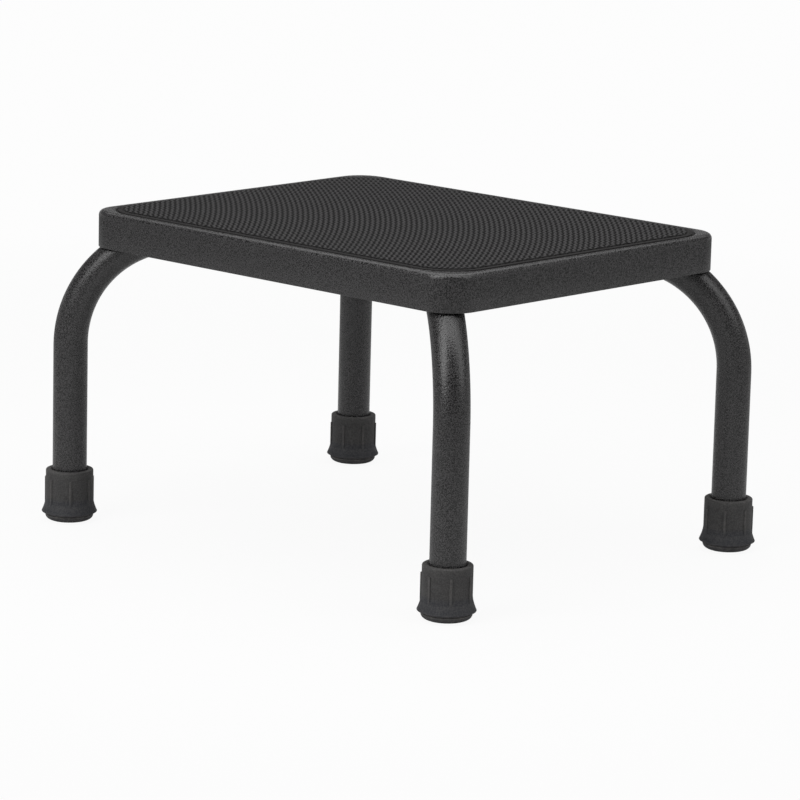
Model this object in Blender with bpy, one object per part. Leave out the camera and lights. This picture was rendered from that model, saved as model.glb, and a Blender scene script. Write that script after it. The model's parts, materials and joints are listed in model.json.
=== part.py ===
"""Footstool: a pressed steel platform with a rubber tread, on two crossed hoops of round tube.

Metres, +Z up. The origin is on the floor under the middle of the platform, and X runs along the
platform's long side. The two hoops cross under the platform, each pressed to half its height there,
and bolts clamp the platform to them. Rubber tips close the four tube ends.
"""

import math

import bmesh
import bpy
from mathutils import Matrix, Vector

# Clearances
SEAT_GAP = 0.0003  # between two pieces that rest on each other
BOLT_GAP = 0.0003  # round a bolt in its hole
SKIRT_GAP = 0.0008  # between a leg's bend and the skirt's corner above it

# Platform pan, one sheet of steel
PLATFORM_LENGTH = 0.3645
PLATFORM_DEPTH = 0.2916
PLATFORM_HEIGHT = 0.2340  # from the floor to the top of the rim
SKIRT_HEIGHT = 0.0270
SHEET = 0.0015
PAN_CORNER_RADIUS = 0.0230
EDGE_BEND_RADIUS = 0.0015  # inside radius of the sheet's bend from the rim to the skirt
RIM_HOLLOW = 0.0006  # flat width left under the rim, inside the sheet
RECESS_DEPTH = 0.0020
RECESS_LEAN = 0.0004  # how far the recess wall leans in at its foot
RECESS_CORNER_RADIUS = 0.0345

# Tread mat
MAT_MARGIN = 0.0016  # between the mat and the foot of the recess wall
MAT_THICKNESS = 0.0029
MAT_CHAMFER = 0.0005

# Leg tubes
TUBE_DIAMETER = 0.0254
TUBE_WALL = 0.0016
LEG_OVERHANG_X = 0.0091  # how far a leg's axis stands outside the platform's short side
LEG_OVERHANG_Y = 0.0057  # and outside its long side
BEND_OVALITY = 0.04  # a bend's loss of height, as a share of the diameter
CROSSING_MARGIN = 0.0015  # flat length beyond the other tube's edge
CROSSING_TAPER = 0.0400  # length over which the tube goes from flat to round

# Foot tips
TIP_HEIGHT = 0.0385
TIP_WALL = 0.0046
TIP_LIP = 0.0010  # bevel round the collar's mouth
TIP_FLOOR = 0.0120  # height of the floor inside the tip
TIP_FLARE = 0.0029  # how far the flare stands out from the collar
TIP_FLARE_TOP = 0.0155
TIP_FLARE_HEIGHT = 0.0070  # where the flare is widest
TIP_UNDERCUT_HEIGHT = 0.0042
TIP_PUCK_STEP = 0.0004  # how far the base puck stands in from the collar
TIP_SOLE_ROUNDING = 0.0040  # from the puck's side in to the flat of the sole
TIP_SOLE_WIDTH = 0.0065  # flat ring that stands on the floor
TIP_HOLLOW_DEPTH = 0.0012  # shallow hollow inside that ring
TIP_RIB_COUNT = 7
TIP_RIB_WIDTH = 0.0023
TIP_RIB_PROUD = 0.0009
TIP_RIB_DROP = 0.0065  # from the collar's mouth down to the top of the ribs
TIP_WASHER_THICKNESS = 0.0016
TIP_WASHER_MARGIN = 0.0003  # between the washer's edge and the tip's bore
TIP_WASHER_HOLE_RADIUS = 0.0050

# Fasteners
BOLT_DIAMETER = 0.0060
BOLT_HEAD_DIAMETER = 0.0120
BOLT_HEAD_SINK = 0.0002  # how deep the head's top lies below the recess floor
BOLT_SOCKET_WIDTH = 0.0040  # across the flats of the hexagon socket
BOLT_SOCKET_DEPTH = 0.0020
BOLT_CHAMFER = 0.0006
BOLT_TAIL = 0.0015  # bolt left standing out of the nut
BOLT_FROM_BEND = 0.0360  # from the end of a leg's bend to its bolt
WASHER_DIAMETER = 0.0180
WASHER_THICKNESS = 0.0016  # also the saddle washers' thickness under the tube
SADDLE_HEIGHT = 0.0045  # how high a saddle washer's sides reach, from its flat bottom
NUT_WIDTH = 0.0100  # across the flats
NUT_HEIGHT = 0.0050
NUT_CHAMFER = 0.0004

# Turn of each tip's ribs about its leg, in degrees, as the tips were pushed on
TIP_TURNS = {"front_left": -40, "front_right": -39, "rear_right": -58, "rear_left": -20}
CORNER_SIGNS = {"front_left": (-1, -1), "front_right": (1, -1), "rear_right": (1, 1), "rear_left": (-1, 1)}

# Facets
CORNER_STEPS = 8
EDGE_STEPS = 3
TUBE_SIDES = 20
BEND_STEPS = 8
TAPER_STEPS = 4
TIP_STEPS = 24
ROUND_STEPS = 20
HOLE_STEPS = 16
SADDLE_STEPS = 48
SHARP_ANGLE = math.radians(32)
WELD = 1e-6

# Heights, worked out from the platform downwards
EDGE_RADIUS = EDGE_BEND_RADIUS + SHEET
RIM_WIDTH = EDGE_RADIUS + RIM_HOLLOW + SHEET
FLOOR_HEIGHT = PLATFORM_HEIGHT - RECESS_DEPTH
UNDERSIDE_HEIGHT = FLOOR_HEIGHT - SHEET
SKIRT_BOTTOM = PLATFORM_HEIGHT - SKIRT_HEIGHT
TUBE_RADIUS = TUBE_DIAMETER / 2
RUN_HEIGHT = UNDERSIDE_HEIGHT - SEAT_GAP - TUBE_RADIUS
TUBE_BOTTOM = RUN_HEIGHT - TUBE_RADIUS
TUBE_END = TIP_FLOOR + SEAT_GAP + TIP_WASHER_THICKNESS + SEAT_GAP

# Foot tips, worked out from the tube outwards
TIP_BORE = TUBE_RADIUS + SEAT_GAP
TIP_COLLAR = TIP_BORE + TIP_WALL
TIP_PUCK = TIP_COLLAR - TIP_PUCK_STEP
TIP_SOLE = TIP_PUCK - TIP_SOLE_ROUNDING
TIP_HOLLOW = TIP_SOLE - TIP_SOLE_WIDTH
TIP_RIB_TOP = TIP_HEIGHT - TIP_RIB_DROP

# Plan of the legs: each hoop runs along one diagonal
LEG_X = PLATFORM_LENGTH / 2 + LEG_OVERHANG_X
LEG_Y = PLATFORM_DEPTH / 2 + LEG_OVERHANG_Y
LEG_REACH = math.hypot(LEG_X, LEG_Y)
LEG_ANGLE = math.atan2(LEG_Y, LEG_X)

# Bolts: the 45 degree heads sit in dimples of the sheet, and each dimple sits in a hole of the tube
BOLT_RADIUS = BOLT_DIAMETER / 2
BOLT_HEAD_RADIUS = BOLT_HEAD_DIAMETER / 2
HOLE_RADIUS = BOLT_RADIUS + BOLT_GAP
HEAD_TOP = FLOOR_HEIGHT - BOLT_HEAD_SINK
HEAD_BOTTOM = HEAD_TOP - (BOLT_HEAD_RADIUS - BOLT_RADIUS)
DIMPLE_WALL = SHEET * math.sqrt(2)  # the sheet's thickness measured across a 45 degree cone
DIMPLE_BOTTOM = HEAD_BOTTOM - SHEET / 2
WASHER_BOTTOM = TUBE_BOTTOM - SEAT_GAP - WASHER_THICKNESS
NUT_TOP = WASHER_BOTTOM - SEAT_GAP
NUT_BOTTOM = NUT_TOP - NUT_HEIGHT
BOLT_END = NUT_BOTTOM - BOLT_TAIL


def skirt_reach():
    """Distance from the middle to the inside of the skirt's corner, along a hoop's diagonal."""
    along = Vector((math.cos(LEG_ANGLE), math.sin(LEG_ANGLE)))
    centre = Vector((PLATFORM_LENGTH / 2, PLATFORM_DEPTH / 2)) - Vector((1, 1)) * PAN_CORNER_RADIUS
    inside_radius = PAN_CORNER_RADIUS - SHEET
    middle = centre.dot(along)
    return middle + math.sqrt(inside_radius**2 - centre.length_squared + middle**2)


def bend_radius():
    """Radius of the leg bend whose back passes just under the inside of the skirt's corner."""
    half_height = TUBE_RADIUS * (1 - BEND_OVALITY)
    outside = LEG_REACH - skirt_reach()
    drop = RUN_HEIGHT - SKIRT_BOTTOM + SKIRT_GAP
    across = half_height + outside
    return drop + across + math.sqrt((drop + across) ** 2 - drop**2 + across * (half_height - outside))


BEND_RADIUS = bend_radius()
BEND_START = RUN_HEIGHT - BEND_RADIUS
BOLT_REACH = LEG_REACH - BEND_RADIUS - BOLT_FROM_BEND

# Crossing: two flattened tubes share the height of one round tube
PRESSED_HALF_HEIGHT = (TUBE_RADIUS - SEAT_GAP / 2) / 2
PRESSED_FLAT = math.pi * (TUBE_RADIUS - PRESSED_HALF_HEIGHT) / 2  # half the flat width, same girth
PRESSED_HALF_WIDTH = PRESSED_FLAT + PRESSED_HALF_HEIGHT
CROSSING_ANGLE = 2 * LEG_ANGLE
CROSSING_REACH = PRESSED_HALF_WIDTH * (1 + abs(math.cos(CROSSING_ANGLE))) / math.sin(CROSSING_ANGLE)
CROSSING_FLAT = CROSSING_REACH + CROSSING_MARGIN


def make_material(name, colour, roughness, metallic):
    """A plain Principled material."""
    material = bpy.data.materials.new(name)
    material.use_nodes = True
    shader = material.node_tree.nodes["Principled BSDF"]
    shader.inputs["Base Color"].default_value = (*colour, 1)
    shader.inputs["Roughness"].default_value = roughness
    shader.inputs["Metallic"].default_value = metallic
    return material


def finish_mesh(shape, name):
    """Turn a bmesh into a mesh with outward faces and smooth round sides."""
    bmesh.ops.remove_doubles(shape, verts=shape.verts, dist=WELD)
    bmesh.ops.recalc_face_normals(shape, faces=shape.faces)
    mesh = bpy.data.meshes.new(name)
    shape.to_mesh(mesh)
    shape.free()
    mesh.shade_smooth()
    mesh.set_sharp_from_angle(angle=SHARP_ANGLE)
    return mesh


def place(name, mesh, material, location=(0, 0, 0), turn=0):
    """Add one named piece of the stool."""
    piece = bpy.data.objects.new(name, mesh)
    piece.location = location
    piece.rotation_euler.z = turn
    piece.parent = stool
    if not mesh.materials:
        mesh.materials.append(material)
    bpy.context.scene.collection.objects.link(piece)
    return piece


def hide_tool(tool):
    """Keep a cutting or joining tool out of the finished stool."""
    tool.hide_render = True
    tool.display_type = "WIRE"
    return tool


def combine(piece, tool, operation):
    """Cut a tool out of a piece, or join it on, with a live Boolean."""
    modifier = piece.modifiers.new(tool.name, "BOOLEAN")
    modifier.operation = operation
    modifier.object = tool


def skin(shape, loops):
    """Join a row of closed loops, which have equal numbers of points, with bands of faces."""
    rows = [[shape.verts.new(point) for point in loop] for loop in loops]
    for lower, upper in zip(rows, rows[1:]):
        for index in range(len(lower)):
            after = (index + 1) % len(lower)
            shape.faces.new((lower[index], lower[after], upper[after], upper[index]))
    return rows


def turn_profile(shape, profile, steps):
    """Revolve a line of (radius, height) points about the Z axis."""
    points = [shape.verts.new((radius, 0, height)) for radius, height in profile]
    line = [shape.edges.new(pair) for pair in zip(points, points[1:])]
    bmesh.ops.spin(
        shape, geom=points + line, cent=(0, 0, 0), axis=(0, 0, 1), angle=2 * math.pi, steps=steps
    )
    bmesh.ops.remove_doubles(shape, verts=shape.verts, dist=WELD)


def turned_mesh(name, profile, steps):
    """A turned solid. A ring's profile ends where it starts, a solid's starts and ends on the axis."""
    shape = bmesh.new()
    turn_profile(shape, profile, steps)
    return finish_mesh(shape, name)


def hexagon_prism(shape, width, bottom, top):
    """Add a hexagonal bar, its width measured across the flats."""
    matrix = Matrix.Translation((0, 0, (bottom + top) / 2))
    corner_radius = width / 2 / math.cos(math.pi / 6)
    bmesh.ops.create_cone(
        shape, cap_ends=True, segments=6, radius1=corner_radius, radius2=corner_radius,
        depth=top - bottom, matrix=matrix,
    )


def platform_outline(inset, radius, height):
    """The platform's rounded rectangle, drawn in by an inset, as a loop of points."""
    loop = []
    for quarter, (sign_x, sign_y) in enumerate(((1, 1), (-1, 1), (-1, -1), (1, -1))):
        centre_x = sign_x * (PLATFORM_LENGTH / 2 - inset - radius)
        centre_y = sign_y * (PLATFORM_DEPTH / 2 - inset - radius)
        for step in range(CORNER_STEPS + 1):
            angle = math.pi / 2 * (quarter + step / CORNER_STEPS)
            x = centre_x + radius * math.cos(angle)
            y = centre_y + radius * math.sin(angle)
            loop.append((x, y, height))
    return loop


def bolt_spots():
    """Names and plan positions of the bolts: one near each corner, and one at the crossing."""
    spots = {}
    for corner, (sign_x, sign_y) in CORNER_SIGNS.items():
        x = sign_x * BOLT_REACH * math.cos(LEG_ANGLE)
        y = sign_y * BOLT_REACH * math.sin(LEG_ANGLE)
        spots[corner] = (x, y, 0)
    spots["centre"] = (0, 0, 0)
    return spots


def tool_at_bolts(name, profile):
    """One tool with the same turned shape at every bolt."""
    shape = bmesh.new()
    for spot in bolt_spots().values():
        earlier = set(shape.verts)
        turn_profile(shape, profile, HOLE_STEPS)
        added = [vert for vert in shape.verts if vert not in earlier]
        bmesh.ops.translate(shape, verts=added, vec=spot)
    return hide_tool(place(name, finish_mesh(shape, name), steel))


def head_cone_radius(height):
    """Radius of the bolt's 45 degree head at a height."""
    return BOLT_RADIUS + height - HEAD_BOTTOM


def make_pan():
    """Pressed pan: skirt, rounded rim and recess as one sheet, with a dimple for each bolt's head."""
    loops = [platform_outline(0, PAN_CORNER_RADIUS, SKIRT_BOTTOM)]
    for step in range(EDGE_STEPS + 1):
        angle = math.pi / 2 * step / EDGE_STEPS
        inset = EDGE_RADIUS * (1 - math.cos(angle))
        height = PLATFORM_HEIGHT - EDGE_RADIUS * (1 - math.sin(angle))
        loops.append(platform_outline(inset, PAN_CORNER_RADIUS - inset, height))
    loops.append(platform_outline(RIM_WIDTH, RECESS_CORNER_RADIUS, PLATFORM_HEIGHT))
    foot_radius = RECESS_CORNER_RADIUS - RECESS_LEAN
    loops.append(platform_outline(RIM_WIDTH + RECESS_LEAN, foot_radius, FLOOR_HEIGHT))
    shape = bmesh.new()
    rows = skin(shape, loops)
    shape.faces.new(rows[-1])
    pan = place("platform_pan", finish_mesh(shape, "platform_pan"), black_coat)
    thicken = pan.modifiers.new("sheet", "SOLIDIFY")
    thicken.thickness = SHEET
    thicken.offset = -1
    thicken.use_even_offset = True
    thicken.use_quality_normals = True

    join_height = UNDERSIDE_HEIGHT + SHEET / 3
    cup_top = head_cone_radius(join_height) + DIMPLE_WALL
    cup_bottom = head_cone_radius(DIMPLE_BOTTOM) + DIMPLE_WALL
    cup = [(0, join_height), (cup_top, join_height), (cup_bottom, DIMPLE_BOTTOM), (0, DIMPLE_BOTTOM)]
    combine(pan, tool_at_bolts("dimple_cups", cup), "UNION")

    above = FLOOR_HEIGHT + RECESS_DEPTH
    below = DIMPLE_BOTTOM - SHEET
    mouth = head_cone_radius(above) + BOLT_GAP
    sink = [(0, above), (mouth, above), (HOLE_RADIUS, HEAD_BOTTOM), (HOLE_RADIUS, below), (0, below)]
    combine(pan, tool_at_bolts("dimple_sinks", sink), "DIFFERENCE")


def make_mat():
    """Rubber tread with a small chamfer round its top. Its fine surface pattern is left off."""
    inset = RIM_WIDTH + RECESS_LEAN + MAT_MARGIN
    radius = RECESS_CORNER_RADIUS - RECESS_LEAN - MAT_MARGIN
    bottom = FLOOR_HEIGHT + SEAT_GAP
    top = bottom + MAT_THICKNESS
    shape = bmesh.new()
    rows = skin(shape, [
        platform_outline(inset, radius, bottom),
        platform_outline(inset, radius, top - MAT_CHAMFER),
        platform_outline(inset + MAT_CHAMFER, radius - MAT_CHAMFER, top),
    ])
    shape.faces.new(rows[0])
    shape.faces.new(rows[-1])
    place("tread_mat", finish_mesh(shape, "tread_mat"), black_rubber)


def tube_section(press):
    """Points round the tube, from round at press 0 to flattened at press 1, with the same girth."""
    points = []
    bent_length = PRESSED_HALF_HEIGHT * math.pi / 2
    for index in range(TUBE_SIDES):
        angle = 2 * math.pi * index / TUBE_SIDES
        across, up = math.cos(angle), math.sin(angle)
        length = TUBE_RADIUS * math.atan2(abs(up), abs(across))
        turn = min(length / PRESSED_HALF_HEIGHT, math.pi / 2)
        flat_across = PRESSED_FLAT + PRESSED_HALF_HEIGHT * math.cos(turn) - max(0, length - bent_length)
        flat_up = PRESSED_HALF_HEIGHT * math.sin(turn)
        round_point = Vector((across, up)) * TUBE_RADIUS
        flat_point = Vector((math.copysign(flat_across, across), math.copysign(flat_up, up)))
        points.append(round_point.lerp(flat_point, press))
    return points


def hoop_stations():
    """Half a hoop from its foot to its middle: (distance out, height, tilt of the section, press)."""
    stations = [(LEG_REACH, TUBE_END, 0, 0)]
    for step in range(BEND_STEPS + 1):
        tilt = math.pi / 2 * step / BEND_STEPS
        out = LEG_REACH - BEND_RADIUS * (1 - math.cos(tilt))
        stations.append((out, BEND_START + BEND_RADIUS * math.sin(tilt), tilt, 0))
    for step in range(TAPER_STEPS + 1):
        share = step / TAPER_STEPS
        press = share * share * (3 - 2 * share)
        out = CROSSING_FLAT + CROSSING_TAPER * (1 - share)
        stations.append((out, RUN_HEIGHT, math.pi / 2, press))
    return stations


def make_hoop(name, angle, side):
    """A hoop of tube across one diagonal, lying above (side 1) or below (side -1) where they cross."""
    along = Vector((math.cos(angle), math.sin(angle), 0))
    across = Vector((-along.y, along.x, 0))
    lift = side * (TUBE_RADIUS - PRESSED_HALF_HEIGHT)

    def ring(station, end):
        out, height, tilt, press = station
        up = along * (end * math.cos(tilt)) + Vector((0, 0, math.sin(tilt)))
        oval = 1 - BEND_OVALITY * math.sin(2 * tilt)
        centre = along * (end * out) + Vector((0, 0, height + press * lift))
        return [centre + across * point.x + up * point.y * oval for point in tube_section(press)]

    first_half = [ring(station, 1) for station in hoop_stations()]
    second_half = [ring(station, -1) for station in hoop_stations()]
    shape = bmesh.new()
    skin(shape, first_half + second_half[::-1])
    hoop = place(name, finish_mesh(shape, name), black_coat)
    thicken = hoop.modifiers.new("wall", "SOLIDIFY")
    thicken.thickness = TUBE_WALL
    thicken.offset = -1
    thicken.use_even_offset = True
    return hoop


def make_legs():
    """Two crossed hoops, drilled for the bolts, with a wider hole on top for each dimple."""
    dimple_hole = head_cone_radius(UNDERSIDE_HEIGHT) + DIMPLE_WALL + SEAT_GAP
    wide_bottom = RUN_HEIGHT + TUBE_RADIUS / 2
    above = UNDERSIDE_HEIGHT + TUBE_WALL
    below = TUBE_BOTTOM - TUBE_WALL
    drill = [
        (0, above), (dimple_hole, above), (dimple_hole, wide_bottom),
        (HOLE_RADIUS, wide_bottom), (HOLE_RADIUS, below), (0, below),
    ]
    drills = tool_at_bolts("bolt_drills", drill)
    for name, angle, side in (("leg_tube_upper", LEG_ANGLE, 1), ("leg_tube_lower", -LEG_ANGLE, -1)):
        combine(make_hoop(name, angle, side), drills, "DIFFERENCE")


def tip_profile():
    """Half section of a foot tip, from the floor inside, up the bore and down the outside."""
    return [
        (0, TIP_FLOOR),
        (TIP_BORE, TIP_FLOOR),
        (TIP_BORE, TIP_HEIGHT),
        (TIP_COLLAR - TIP_LIP, TIP_HEIGHT),
        (TIP_COLLAR, TIP_HEIGHT - TIP_LIP),
        (TIP_COLLAR, TIP_FLARE_TOP),
        (TIP_COLLAR + TIP_FLARE / 3, (TIP_FLARE_TOP + TIP_FLARE_HEIGHT) / 2),
        (TIP_COLLAR + TIP_FLARE, TIP_FLARE_HEIGHT),
        (TIP_PUCK, TIP_UNDERCUT_HEIGHT),
        (TIP_PUCK, TIP_UNDERCUT_HEIGHT / 2),
        (TIP_SOLE, 0),
        (TIP_HOLLOW, 0),
        (TIP_HOLLOW - TIP_HOLLOW_DEPTH, TIP_HOLLOW_DEPTH),
        (0, TIP_HOLLOW_DEPTH),
    ]


def make_tip_ribs():
    """Tool that joins the upright ribs to a tip's collar."""
    inner = TIP_BORE + TIP_WALL / 2
    outer = TIP_COLLAR + TIP_RIB_PROUD
    middle = Vector(((inner + outer) / 2, 0, (TIP_FLARE_HEIGHT + TIP_RIB_TOP) / 2))
    size = Vector((outer - inner, TIP_RIB_WIDTH, TIP_RIB_TOP - TIP_FLARE_HEIGHT))
    shape = bmesh.new()
    for index in range(TIP_RIB_COUNT):
        turn = Matrix.Rotation(2 * math.pi * index / TIP_RIB_COUNT, 4, "Z")
        matrix = turn @ Matrix.Translation(middle) @ Matrix.Diagonal((*size, 1))
        bmesh.ops.create_cube(shape, size=1, matrix=matrix)
    return finish_mesh(shape, "tip_ribs")


def make_feet():
    """A rubber tip on each tube end, with a steel washer on its floor."""
    tip_mesh = turned_mesh("foot_tip", tip_profile(), TIP_STEPS)
    ribs_mesh = make_tip_ribs()
    washer_mesh = ring_mesh(
        "tip_washer", TIP_BORE - TIP_WASHER_MARGIN, TIP_WASHER_HOLE_RADIUS, TIP_FLOOR + SEAT_GAP,
        TIP_FLOOR + SEAT_GAP + TIP_WASHER_THICKNESS,
    )
    for corner, (sign_x, sign_y) in CORNER_SIGNS.items():
        foot = (sign_x * LEG_X, sign_y * LEG_Y, 0)
        turn = math.radians(TIP_TURNS[corner])
        tip = place(f"foot_tip_{corner}", tip_mesh, grey_rubber, foot, turn)
        ribs = hide_tool(place(f"tip_ribs_{corner}", ribs_mesh, grey_rubber, foot, turn))
        combine(tip, ribs, "UNION")
        place(f"tip_washer_{corner}", washer_mesh, steel, foot)


def ring_mesh(name, outer, inner, bottom, top):
    """A flat washer."""
    profile = [(inner, top), (outer, top), (outer, bottom), (inner, bottom), (inner, top)]
    return turned_mesh(name, profile, ROUND_STEPS)


def make_bolt_mesh():
    """Countersunk bolt without its thread, with a hexagon socket in its head."""
    return turned_mesh("bolt", [
        (0, HEAD_TOP),
        (BOLT_HEAD_RADIUS, HEAD_TOP),
        (BOLT_RADIUS, HEAD_BOTTOM),
        (BOLT_RADIUS, BOLT_END + BOLT_CHAMFER),
        (BOLT_RADIUS - BOLT_CHAMFER, BOLT_END),
        (0, BOLT_END),
    ], HOLE_STEPS)


def make_nut_mesh():
    """Hexagon nut with chamfered edges and a plain hole."""
    shape = bmesh.new()
    hexagon_prism(shape, NUT_WIDTH, NUT_BOTTOM, NUT_TOP)
    rims = [edge for edge in shape.edges if abs(edge.verts[0].co.z - edge.verts[1].co.z) < WELD]
    bmesh.ops.bevel(shape, geom=rims, offset=NUT_CHAMFER, segments=1, affect="EDGES")
    return finish_mesh(shape, "nut")


def make_fastener_tools():
    """Meshes that cut the bolts' sockets, the nuts' holes and the saddle washers' seats."""
    socket_shape = bmesh.new()
    hexagon_prism(socket_shape, BOLT_SOCKET_WIDTH, HEAD_TOP - BOLT_SOCKET_DEPTH, PLATFORM_HEIGHT)
    socket_mesh = finish_mesh(socket_shape, "bolt_socket")
    above, below = NUT_TOP + NUT_HEIGHT, NUT_BOTTOM - NUT_HEIGHT
    hole = [(0, above), (HOLE_RADIUS, above), (HOLE_RADIUS, below), (0, below)]
    reach = WASHER_DIAMETER
    radius = TUBE_RADIUS + SEAT_GAP
    seat = [(0, reach), (radius, reach), (radius, -reach), (0, -reach)]
    return (
        socket_mesh,
        turned_mesh("nut_hole", hole, HOLE_STEPS),
        turned_mesh("saddle_seat", seat, SADDLE_STEPS),
    )


def make_fasteners():
    """A bolt and a nut at every spot, with a saddle washer on a round tube or a flat one on a flat."""
    bolt_mesh = make_bolt_mesh()
    nut_mesh = make_nut_mesh()
    washer = (WASHER_DIAMETER / 2, HOLE_RADIUS, WASHER_BOTTOM)
    flat_mesh = ring_mesh("centre_washer", *washer, WASHER_BOTTOM + WASHER_THICKNESS)
    saddle_mesh = ring_mesh("saddle_washer", *washer, WASHER_BOTTOM + SADDLE_HEIGHT)
    socket_mesh, hole_mesh, seat_mesh = make_fastener_tools()
    for spot, location in bolt_spots().items():
        prefix, suffix = ("centre_", "") if spot == "centre" else ("", "_" + spot)
        bolt = place(f"{prefix}bolt{suffix}", bolt_mesh, steel, location)
        combine(bolt, hide_tool(place(f"socket_{spot}", socket_mesh, steel, location)), "DIFFERENCE")
        nut = place(f"{prefix}nut{suffix}", nut_mesh, steel, location)
        combine(nut, hide_tool(place(f"nut_hole_{spot}", hole_mesh, steel, location)), "DIFFERENCE")
        if spot == "centre":
            place("centre_washer", flat_mesh, steel, location)
            continue
        sign_x, sign_y = CORNER_SIGNS[spot]
        saddle = place(f"saddle_washer_{spot}", saddle_mesh, steel, location)
        seat = hide_tool(place(f"saddle_seat_{spot}", seat_mesh, steel, location))
        seat.location.z = RUN_HEIGHT
        seat.rotation_euler = (math.pi / 2, 0, sign_x * sign_y * LEG_ANGLE + math.pi / 2)
        combine(saddle, seat, "DIFFERENCE")


for leftover in list(bpy.data.objects):
    bpy.data.objects.remove(leftover)

stool = bpy.data.objects.new("footstool", None)
bpy.context.scene.collection.objects.link(stool)

black_coat = make_material("black_powder_coat", (0.040, 0.040, 0.041), 0.50, 0.0)
black_rubber = make_material("black_tread_rubber", (0.040, 0.040, 0.041), 0.75, 0.0)
grey_rubber = make_material("dark_tip_rubber", (0.036, 0.037, 0.040), 0.70, 0.0)
steel = make_material("zinc_plated_steel", (0.55, 0.55, 0.54), 0.35, 1.0)

make_pan()
make_mat()
make_legs()
make_feet()
make_fasteners()
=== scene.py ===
"""Looks of the footstool: its finished pieces, their materials, the light and the camera.

Metres, +Z up. The origin is on the floor under the middle of the platform, and X runs along the
platform's long side. Places come from the solids' boxes, so each piece lies where its solid lies.
"""

import json
import math

import bmesh
import bpy
from mathutils import Matrix, Vector

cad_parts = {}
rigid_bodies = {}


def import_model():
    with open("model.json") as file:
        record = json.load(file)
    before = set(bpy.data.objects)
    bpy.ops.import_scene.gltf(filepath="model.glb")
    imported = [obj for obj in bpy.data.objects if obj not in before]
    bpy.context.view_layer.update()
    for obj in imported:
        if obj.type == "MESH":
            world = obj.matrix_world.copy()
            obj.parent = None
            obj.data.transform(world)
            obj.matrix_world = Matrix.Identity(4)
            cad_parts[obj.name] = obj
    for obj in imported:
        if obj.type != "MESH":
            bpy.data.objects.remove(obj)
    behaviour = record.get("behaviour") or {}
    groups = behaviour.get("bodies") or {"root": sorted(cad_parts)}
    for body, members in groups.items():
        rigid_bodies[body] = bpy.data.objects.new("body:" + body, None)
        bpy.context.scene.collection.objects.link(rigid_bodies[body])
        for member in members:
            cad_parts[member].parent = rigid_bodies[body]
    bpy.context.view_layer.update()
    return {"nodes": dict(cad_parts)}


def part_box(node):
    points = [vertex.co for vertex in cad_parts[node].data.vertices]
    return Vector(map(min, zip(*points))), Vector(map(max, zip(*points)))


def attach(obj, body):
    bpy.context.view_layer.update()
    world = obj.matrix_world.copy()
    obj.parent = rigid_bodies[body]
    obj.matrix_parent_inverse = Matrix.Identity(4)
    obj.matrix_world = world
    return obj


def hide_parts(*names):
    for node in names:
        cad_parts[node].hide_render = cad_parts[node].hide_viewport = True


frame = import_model()


def middle(node):
    """The middle of a solid's box."""
    low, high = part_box(node)
    return (low + high) / 2


# Places read from the solids
CORNERS = ("front_left", "front_right", "rear_right", "rear_left")
PAN_LOW, PAN_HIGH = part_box("platform_pan")
MAT_LOW, MAT_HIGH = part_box("tread_mat")
TUBE_LOW, TUBE_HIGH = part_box("leg_tube_upper")
FEET = {corner: middle(f"foot_tip_{corner}") for corner in CORNERS}
BOLTS = {corner: middle(f"nut_{corner}") for corner in CORNERS}
BOLTS["centre"] = middle("centre_nut")
HEAD_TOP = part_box("centre_bolt")[1].z
BOLT_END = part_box("centre_bolt")[0].z
NUT_BOTTOM, NUT_TOP = (corner.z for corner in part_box("centre_nut"))
WASHER_BOTTOM, WASHER_TOP = (corner.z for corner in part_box("centre_washer"))
SADDLE_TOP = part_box("saddle_washer_front_left")[1].z

# Fits and cuts
SEAT_GAP = 0.0003  # between pieces that lie against each other
OVERSHOOT = 0.0015  # how far a cutting body stands out of what it cuts

# Pan
RIM_TOP = PAN_HIGH.z
SKIRT_BOTTOM = PAN_LOW.z
SHEET = 0.0015
PAN_CORNER = 0.0230
EDGE_RADIUS = 0.0038
RIM_WIDTH = 0.0051
RECESS_DEPTH = 0.0020
RECESS_LEAN = 0.0004
RECESS_CORNER = 0.0345
RECESS_LIP = 0.0006  # rounding where the rim turns down into the recess
RECESS_FILLET = 0.0004
SHEET_EDGE_ROUNDING = 0.0004  # on the skirt's cut edge, thickened by the coat
RECESS_FLOOR = RIM_TOP - RECESS_DEPTH
UNDERSIDE = RECESS_FLOOR - SHEET
CUP_TOP = UNDERSIDE + SHEET / 3  # the cup of a dimple ends inside the sheet

# Tread
MAT_CORNER = 0.0325
MAT_EDGE_ROUNDING = 0.0004
TREAD_BORDER = 0.0040  # smooth strip round the ribbed field
RIB_PITCH = 0.00375
RIB_HEIGHT = 0.0008
RIB_WAVE = 0.0108  # length of one zig and zag along a rib
RIB_SWAY = 0.0009  # how far a rib swings to each side
RIB_ANGLE = math.radians(43)  # ribs run from the front right corner to the rear left one
RIB_BOW = 0.50  # per metre: a rib swings to the front left by this times its length squared
RIB_BOW_MIDDLE = -0.025  # where along a rib that length starts, both ways
RIB_COLUMNS = 4  # columns of points to one rib with its valley
RAISED_COLUMNS = (1, 2)  # those that make the rib's top
BORDER_DROP = 0.0001  # from the valleys between the ribs down to the border

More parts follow.
